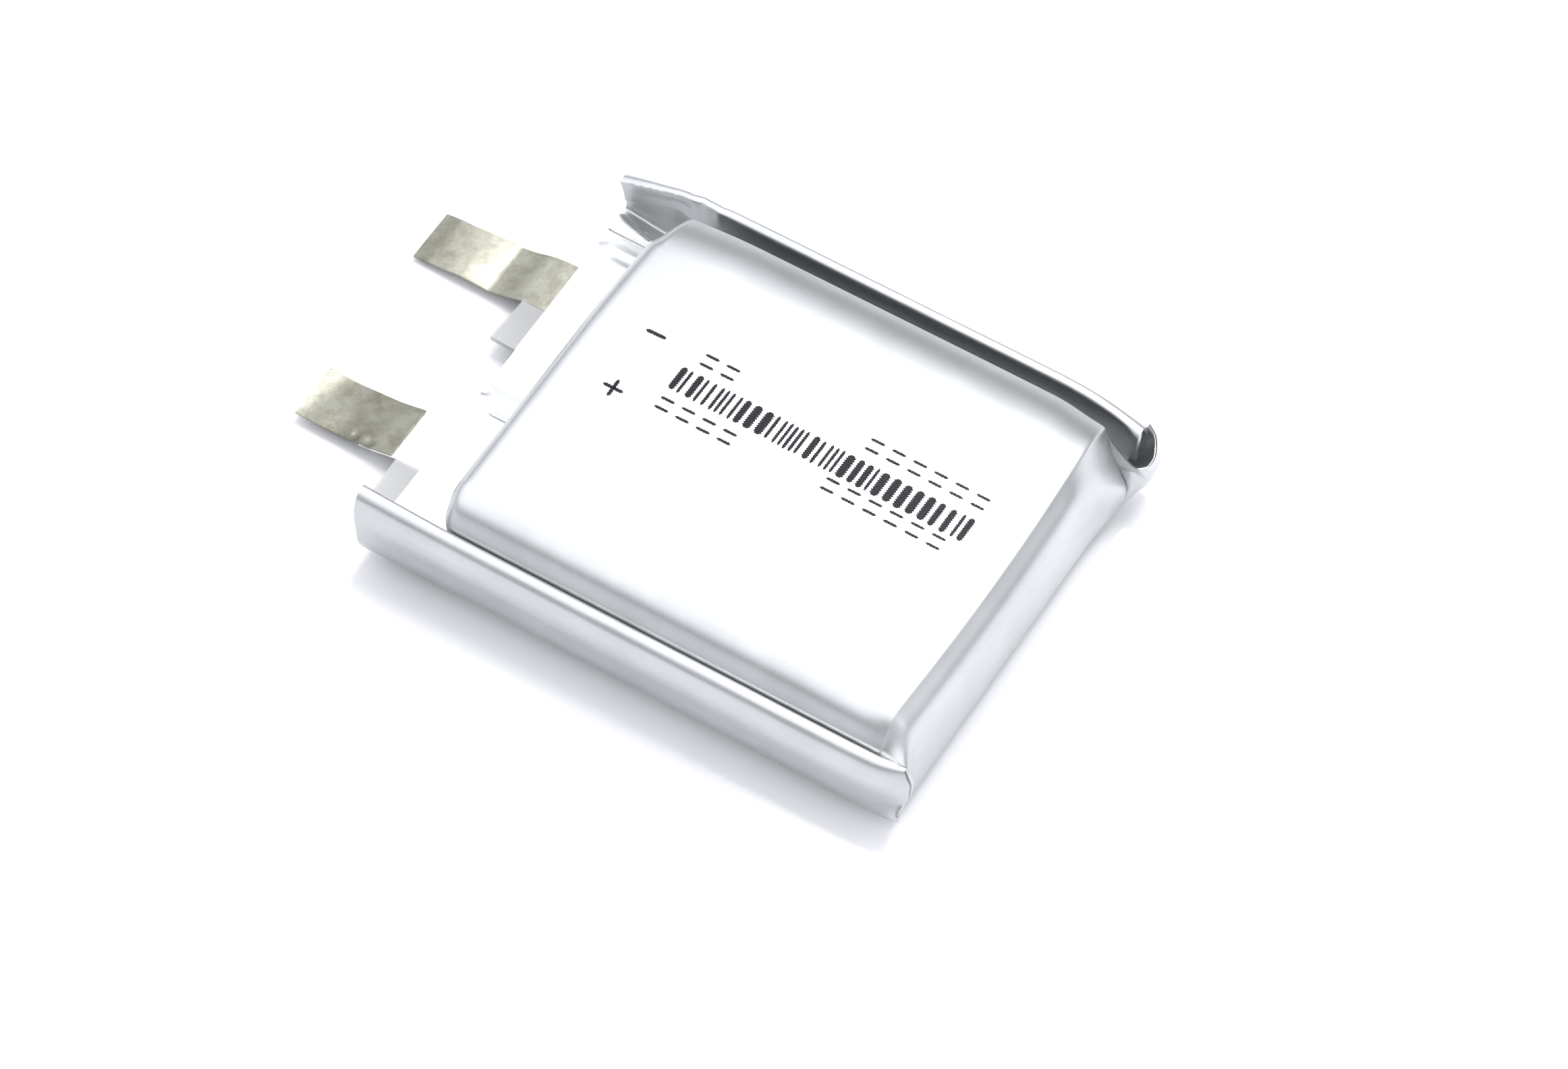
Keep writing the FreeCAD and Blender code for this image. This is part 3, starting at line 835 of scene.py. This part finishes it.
def make_fold(name, table, start, knee, tuck, sign, ragged, nicks, lips):
    """A side fold, from the sections in its table.

    Its foot begins at start, and its outer face turns up at the level knee, tuck inside the belly.
    ragged is how far its end slips along Y.
    """
    sheet = Sheet()
    knots = [-row[0] for row in table]
    values = [row[1:] for row in table]
    places = np.linspace(knots[0], knots[-1], FOLD_STEPS)
    rows = []
    for place, shape in zip(places, curve(knots, values, places)):
        y = -place
        outline = fold_section(sign, start, knee, tuck, smoothstep(*lips, y), *shape)
        shift = sum(depth * bump(y, at, width) for at, depth, width in nicks)
        worn = ragged * smoothstep(*RAGGED_Y, y)
        row = []
        for reach, level in path(outline, SECTION_STEPS):
            slip = worn * smoothstep(*RAGGED_TOP, level) * smoothstep(*RAGGED_FOOT, level)
            x = sign * (reach + shift * smoothstep(*NICK_LEVELS, level))
            row.append(Vector((x, y - slip, level)))
        rows.append(row)
    sheet.add(rows)
    piece = sheet.build(name, HEM_SHEET, outward=(sign, 0, 0))
    side = "right" if sign > 0 else "left"
    finish_piece(piece, FOLD_FOIL, "pouch", ["side_seal_" + side])


def make_folds():
    make_fold("side_fold_right", RIGHT_FOLD, RIGHT_ROOT, 2.6, 0.1, 1, 0.0, RIGHT_NICKS, RIGHT_LIPS)
    make_fold("side_fold_left", LEFT_FOLD, -LEFT_ROOT, 1.95, 0.42, -1, 0.5, [], NO_LIPS)


# ---- the back sheet ----

TRAY_INSET, TRAY_BACK_INSET = 1.0, 0.2
TRAY_CORNER = 0.9
TRAY_GRID = 24
TRAY_CORNER_STEPS = 12
TRAY_SIDE_STEPS = 40
TRAY_FLANGE_STEPS = 12
# the flange reaches the seal's level after one part in this many
TRAY_BLEND = 4
# the flange ends this far inside the bottom fold's line
FOLD_INSET = 0.1
# (out, up) from the edge of the tray's floor
TRAY_PROFILE = [(0.0, 0.0), (0.12, 0.02), (0.3, 0.14), (0.85, SEAL - 0.3), (1.0, SEAL - 0.15)]


def tray_flange(x, y):
    """The lower surface of the seal."""
    return seal_middle(x) - LAMINATE - seal_swell(x, y)


def tray_column(start, outward, end):
    """From a point on the tray's floor out over its rim and along the flange to end."""
    edge = Vector((*start, 0)) + outward * TRAY_CORNER
    rim = [edge + outward * out + Vector((0, 0, up)) for out, up in path(TRAY_PROFILE, 9)]
    made = [Vector((*start, 0))] + rim
    for step in range(1, TRAY_FLANGE_STEPS + 1):
        share = step / TRAY_FLANGE_STEPS
        x, y = mix(rim[-1].x, end[0], share), mix(rim[-1].y, end[1], share)
        level = mix(rim[-1].z, tray_flange(x, y), min(1, share * TRAY_BLEND))
        made.append(Vector((x, y, level)))
    return made


def tray_corner(place, turn, root, end_y):
    """Columns round one corner of the tray; turn counts quarter turns from +X."""
    columns = []
    for step in range(TRAY_CORNER_STEPS + 1):
        angle = math.radians(90 * turn + step / TRAY_CORNER_STEPS * 90)
        outward = Vector((math.cos(angle), math.sin(angle), 0))
        share = step / TRAY_CORNER_STEPS
        share = share if turn % 2 == 0 else 1 - share
        edge_x = root if share < 0.5 else mix(root, place[0], share * 2 - 1)
        corner_y = end_y if end_y else fold_line(edge_x) + FOLD_INSET
        edge_y = mix(place[1], corner_y, min(1, share * 2))
        columns.append(tray_column(place, outward, (edge_x, edge_y)))
    return columns


def make_back():
    """The back sheet: a shallow tray and its flange, which closes the pouch from below."""
    low_x, high_x = cup_low.x + TRAY_INSET + TRAY_CORNER, cup_high.x - TRAY_INSET - TRAY_CORNER
    low_y, high_y = cup_low.y + TRAY_BACK_INSET + TRAY_CORNER, cup_high.y - TRAY_INSET - TRAY_CORNER
    sheet = Sheet()
    xs = [mix(low_x, high_x, i / TRAY_GRID) for i in range(TRAY_GRID + 1)]
    ys = [mix(low_y, high_y, i / TRAY_GRID) for i in range(TRAY_GRID + 1)]
    sheet.add([[Vector((x, y, 0)) for x in xs] for y in ys])
    corners = [
        ((high_x, high_y), RIGHT_ROOT, TERRACE_END),
        ((low_x, high_y), LEFT_ROOT, TERRACE_END),
        ((low_x, low_y), LEFT_ROOT, None),
        ((high_x, low_y), RIGHT_ROOT, None),
    ]
    columns = []
    for turn, (place, root, end_y) in enumerate(corners):
        columns += tray_corner(place, turn, root, end_y)
        other = corners[(turn + 1) % len(corners)][0]
        outward = Vector([(0, 1, 0), (-1, 0, 0), (0, -1, 0), (1, 0, 0)][turn])
        for step in range(1, TRAY_SIDE_STEPS):
            x, y = (mix(a, b, step / TRAY_SIDE_STEPS) for a, b in zip(place, other))
            ends = [(x, TERRACE_END), (LEFT_ROOT, y), (x, fold_line(x) + FOLD_INSET), (RIGHT_ROOT, y)]
            columns.append(tray_column((x, y), outward, ends[turn]))
    sheet.add(columns + columns[:1])
    piece = sheet.build("pouch_back", LAMINATE, outward=(0, 0, -1), even=False)
    finish_piece(piece, FOIL, "pouch", ["back_sheet", "top_seal_lower"])


# ---- tabs and films ----

def ribbon(name, side_points, low_x, high_x, warp, steps, across=14):
    """A metal strip along a side profile of (y, z) points, warped, and thickened downwards."""
    sheet = Sheet()
    rows = []
    for y, z in path(side_points, steps):
        row = []
        for k in range(across + 1):
            share = k / across
            x = mix(low_x, high_x, share)
            row.append(Vector((x, y, z + warp(x, y, share))))
        rows.append(row)
    sheet.add(rows)
    return sheet.build(name, TAB_THICKNESS)


TAB_THICKNESS = 0.1
# places along Y where a tab is free of the seal, so that it may ripple
RIPPLE_Y, STRIP_RIPPLE_Y = (17.5, 18.5), (17.6, 19)


def blend_tab(piece):
    """Bake the strip's transform into its mesh."""
    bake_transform(piece)


def make_negative_tab():
    """One nickel strip, from inside the pouch to the tab's outer end."""
    low, high = node_box("negative_tab_end")
    root = node_box("negative_tab_root")[0]
    profile = [
        (root.y, root.z + TAB_THICKNESS), (9.5, root.z + TAB_THICKNESS), (9.9, 0.75),
        (10.35, 1.3), (10.9, SEAL + 0.05), (16.0, SEAL + 0.04), (17.1, 1.28), (18.0, 0.98),
        (18.9, 0.75), (19.1, 0.71), (19.3, 0.72), (20.5, 0.73), (22.4, 0.53), (high.y, 0.38),
    ]

    def ripple(x, y, share):
        wave = 0.03 * math.sin(y * 1.9 + share * 2) * (0.3 + share)
        tilt = 0.04 * (share - 0.5) * math.sin(y * 0.8)
        return smoothstep(*RIPPLE_Y, y) * (wave + tilt)

    strip = ribbon("negative_tab_strip", profile, low.x, high.x, ripple, 220)
    finish_piece(strip, NICKEL, None, ["negative_tab_root", "negative_tab_end"])
    blend_tab(strip)


def make_positive_tab():
    """An aluminium strip out of the seal, and the nickel strip welded on its outer end."""
    low, high = node_box("positive_tab_strip")
    stub_end = node_box("positive_tab_stub")[1].y
    root_low, root_high = node_box("positive_tab_root")
    profile = [
        (root_low.y, root_high.z), (9.5, root_high.z), (9.9, 3.0), (10.35, 1.8),
        (10.9, SEAL + 0.05), (15.4, SEAL + 0.05), (16.4, SEAL + 0.03), (17.35, 1.27),
        (18.3, 1.03), (stub_end, 0.86),
    ]

    def knurl(x, y, share):
        rows = bump(y, 16.2, 0.1) + bump(y, 17.05, 0.1)
        return -0.03 * rows * (0.5 + 0.5 * math.sin(x * 9))

    inset = 0.02
    stub = ribbon("positive_tab_aluminium", profile, low.x + inset, high.x - inset, knurl, 260, 60)
    finish_piece(stub, ALUMINIUM, None, ["positive_tab_root", "positive_tab_stub"])
    blend_tab(stub)
    profile = [
        (low.y, 1.4), (18.3, 1.15), (19.6, 0.93), (20.65, 0.80), (21.9, 0.77), (high.y, 0.83),
    ]

    def dents(x, y, share):
        near = bump(x, low.x + 0.35, 0.35)
        pits = bump(y, 18.8, 0.3) + 0.8 * bump(y, 19.7, 0.25)
        wave = 0.025 * math.sin(y * 2.1 + share * 3)
        return -0.1 * near * pits + wave * smoothstep(*STRIP_RIPPLE_Y, y)

    strip = ribbon("positive_tab_nickel", profile, low.x, high.x, dents, 90, 24)
    finish_piece(strip, DULL_NICKEL, "positive_tab", ["positive_tab_strip"])


FILM_THICKNESS = 0.12
FILM_ROWS, FILM_COLUMNS = 30, 24
# past the seal a film is loose: where along Y, and how far it waves up and along
LOOSE_Y, LOOSE_UP, LOOSE_ALONG = (15.4, 17.0), 0.05, 0.06


def make_film(name, layer, sign):
    """The upper or lower film of one tab, thickened inwards from its outer face."""
    node = f"{name}_film_{layer}"
    low, high = node_box(node)
    face = high.z if sign > 0 else low.z
    rows = []
    for i in range(FILM_ROWS + 1):
        y = mix(low.y, high.y, i / FILM_ROWS)
        loose = smoothstep(*LOOSE_Y, y)
        row = []
        for k in range(FILM_COLUMNS + 1):
            x = mix(low.x, high.x, k / FILM_COLUMNS)
            z = face + LOOSE_UP * loose * math.sin(x * 1.3 + y * 0.7)
            row.append(Vector((x, y + LOOSE_ALONG * loose * math.sin(x * 0.9), z)))
        rows.append(row)
    sheet = Sheet()
    sheet.add(rows)
    film = sheet.build(node + "_sheet", FILM_THICKNESS, outward=(0, 0, sign))
    finish_piece(film, FILM_PAINTED_SHADE_LOOKS[name], "pouch", [node])


def make_films():
    for name in ("negative", "positive"):
        for layer, sign in (("upper", 1), ("lower", -1)):
            make_film(name, layer, sign)


# ---- printed marks ----

INK_THICKNESS = 0.01
DOT_PITCH = 0.16
POINTS_PER_DOT = 4
# how far a stroke's edge strays, and how high the ink stands on the face
INK_STRAY, INK_HEIGHT = 0.012, 0.012
# a stroke swells at each dot by the first share, and its ends draw in by the second
DOT_SWELL, END_TAPER = 0.18, 0.75


def stroke(sheet, start, end, width, dice):
    """One inkjet stroke: a row of dots that run into each other."""
    start, end = Vector(start), Vector(end)
    run = end - start
    across = Vector((-run.y, run.x)).normalized()
    dots = max(1, round(run.length / DOT_PITCH))
    steps = dots * POINTS_PER_DOT
    rows = []
    for k in range(steps + 1):
        share = k / steps
        swell = 1 - DOT_SWELL + DOT_SWELL * math.cos(share * dots * 2 * math.pi)
        ends = math.sqrt(max(0.0, 1 - abs(2 * share - 1) ** 8)) * END_TAPER + 1 - END_TAPER
        half = width / 2 * swell * ends
        spot = start + run * share
        row = []
        for side in (-1, 1):
            p = spot + across * (side * half + dice.uniform(-INK_STRAY, INK_STRAY))
            row.append(Vector((p.x, p.y, top_level(p.x, p.y) + INK_HEIGHT)))
        rows.append(row)
    sheet.add(rows)


# the minus and the plus: (start, end, width)
POLARITY_STROKES = [
    ((2.37, 8.12), (2.39, 6.98), 0.26),
    ((-1.68, 8.2), (-1.68, 7.05), 0.24),
    ((-2.25, 7.62), (-1.1, 7.62), 0.24),
]
# the strip of bars: its ends along Y, where its middle line runs, and the bars' sizes
BAR_START, BAR_END = 5.4, -11.9
BAR_MIDDLES = (0.56, 0.28)
BAR_HALF, BAR_STRAY, BAR_SLANT = 0.78, 0.04, 0.03
BAR_WIDTHS, BAR_GAPS = (0.2, 0.2, 0.22, 0.42, 0.55), (0.1, 0.12, 0.24)
# rows of dashes beside it: (offset from the middle line, start along Y, how many)
DASH_ROWS = [(1.75, 4.75, 2), (1.85, -4.9, 6), (-1.75, 5.3, 4), (-1.45, -4.2, 6)]
DASH_PITCH, DASH_LENGTH, DASH_WIDTH, DASH_HALF_GAP = 1.22, 0.78, 0.2, 0.32


def bar_middle(y):
    return mix(*BAR_MIDDLES, (BAR_START - y) / (BAR_START - BAR_END))


def make_print():
    """Polarity marks, a strip of bars, and rows of plain dashes where a maker prints a code."""
    dice = random.Random(7)
    sheet = Sheet()
    for start, end, width in POLARITY_STROKES:
        stroke(sheet, start, end, width, dice)
    y = BAR_START
    while y > BAR_END:
        width = dice.choice(BAR_WIDTHS)
        centre = bar_middle(y) + dice.uniform(-BAR_STRAY, BAR_STRAY)
        level = y - width / 2
        stroke(sheet, (centre - BAR_HALF, level), (centre + BAR_HALF, level - BAR_SLANT), width, dice)
        y -= width + dice.choice(BAR_GAPS)
    for offset, start, count in DASH_ROWS:
        for k in range(count):
            y = start - k * DASH_PITCH
            x = bar_middle(y) + offset
            for aside in (-DASH_HALF_GAP, DASH_HALF_GAP):
                stroke(sheet, (x + aside, y), (x + aside, y - DASH_LENGTH), DASH_WIDTH, dice)
    marks = sheet.build("printed_marks", INK_THICKNESS)
    finish_piece(marks, INK, "pouch", [])


# ---- stage ----

def area_light(name, place, target, side, power, spread):
    """A square lamp, aimed at target; side is in millimetres, power in watts, spread in degrees."""
    data = bpy.data.lights.new(name, "AREA")
    data.shape = "RECTANGLE"
    data.size, data.size_y = side * MM, side * MM
    data.energy = power
    data.spread = math.radians(spread)
    light = bpy.data.objects.new(name, data)
    bpy.context.scene.collection.objects.link(light)
    light.location = Vector(place) * MM
    light.rotation_mode = "QUATERNION"
    light.rotation_quaternion = (Vector(target) - Vector(place)).to_track_quat("-Z", "Y")


# The sky is dark near the horizon and bright overhead. Its shade is set by the sine of the
# elevation, plus a share of how far the direction points along Y and along +X: it is brighter low
# down toward both ends, and a little darker on the far side.
SKY_DARK, SKY_LIGHT = 0.18, 0.62
SKY_LOW, SKY_HIGH = (0.08, 0.083, 0.085), (0.95, 0.965, 1.0)
SKY_ENDS, SKY_SIDE = 0.2, -0.07
SKY_STRENGTH = 2.0
# half the floor's side, in metres
FLOOR_HALF = 3.0
FLOOR_DARK, FLOOR_LIGHT = (0.61, 0.61, 0.625), (0.64, 0.64, 0.65)
# (name, place, target, side, power, spread): a soft lamp overhead, and a narrow one that lights
# the floor beyond the folded end
LAMPS = [
    ("key", (70, -10, 265), (0, 0, 0), 120, 0.6, 180),
    ("end", (30, 20, 250), (6, -32, 0), 20, 0.006, 14),
]


def make_floor():
    mesh = bpy.data.meshes.new("floor")
    corners = [(x * FLOOR_HALF, y * FLOOR_HALF, 0) for x, y in ((-1, -1), (1, -1), (1, 1), (-1, 1))]
    mesh.from_pydata(corners, [], [(0, 1, 2, 3)])
    floor = bpy.data.objects.new("floor", mesh)
    bpy.context.scene.collection.objects.link(floor)
    material, shader, nodes, links = new_material("floor")
    paper = noise(nodes, links, scale=0.02, detail=2)
    links.new(
        ramp(nodes, links, paper, 0.3, 0.7, FLOOR_DARK, FLOOR_LIGHT), shader.inputs["Base Color"]
    )
    shader.inputs["Roughness"].default_value = 0.9
    shader.inputs["Specular IOR Level"].default_value = 0.1
    mesh.materials.append(material)


def make_sky():
    world = bpy.data.worlds.new("studio")
    bpy.context.scene.world = world
    world.use_nodes = True
    nodes, links = world.node_tree.nodes, world.node_tree.links
    place = nodes.new("ShaderNodeTexCoord")
    split = nodes.new("ShaderNodeSeparateXYZ")
    links.new(place.outputs["Generated"], split.inputs["Vector"])
    value = split.outputs["Z"]
    for axis, operation, share in (("Y", "ABSOLUTE", SKY_ENDS), ("X", "MAXIMUM", SKY_SIDE)):
        reach = nodes.new("ShaderNodeMath")
        reach.operation = operation
        reach.inputs[1].default_value = 0.0
        links.new(split.outputs[axis], reach.inputs[0])
        total = nodes.new("ShaderNodeMath")
        total.operation = "MULTIPLY_ADD"
        total.inputs[1].default_value = share
        links.new(reach.outputs["Value"], total.inputs[0])
        links.new(value, total.inputs[2])
        value = total.outputs["Value"]
    background = nodes["Background"]
    sky = ramp(nodes, links, value, SKY_DARK, SKY_LIGHT, SKY_LOW, SKY_HIGH)
    links.new(sky, background.inputs["Color"])
    background.inputs["Strength"].default_value = SKY_STRENGTH


# where the camera stands, and its right, up and back directions, fitted to the photo
CAMERA_PLACE = (-143.18, -71.26, 227.27)
CAMERA_RIGHT = (0.50452, -0.86167, 0.05465)
CAMERA_UP = (0.69179, 0.44131, 0.57156)
CAMERA_BACK = (-0.51661, -0.25056, 0.81874)
CAMERA_LENS, CAMERA_SENSOR = 124.77, 36.0
# in metres
CLIP_START, CLIP_END = 0.01, 10.0


def make_camera():
    data = bpy.data.cameras.new("camera")
    data.sensor_width = CAMERA_SENSOR
    data.lens = CAMERA_LENS
    data.clip_start = CLIP_START
    data.clip_end = CLIP_END
    camera = bpy.data.objects.new("camera", data)
    bpy.context.scene.collection.objects.link(camera)
    turn = Matrix((CAMERA_RIGHT, CAMERA_UP, CAMERA_BACK)).transposed()
    camera.matrix_world = Matrix.Translation(Vector(CAMERA_PLACE) * MM) @ turn.to_4x4()
    bpy.context.scene.camera = camera


make_floor()
make_sky()
for lamp in LAMPS:
    area_light(*lamp)
bpy.context.scene.view_settings.view_transform = "Standard"
make_camera()
make_front()
make_folds()
make_back()
make_negative_tab()
make_positive_tab()
make_films()
make_print()
for node, material in CAD_LOOKS.items():
    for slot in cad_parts[node].material_slots:
        slot.material = material
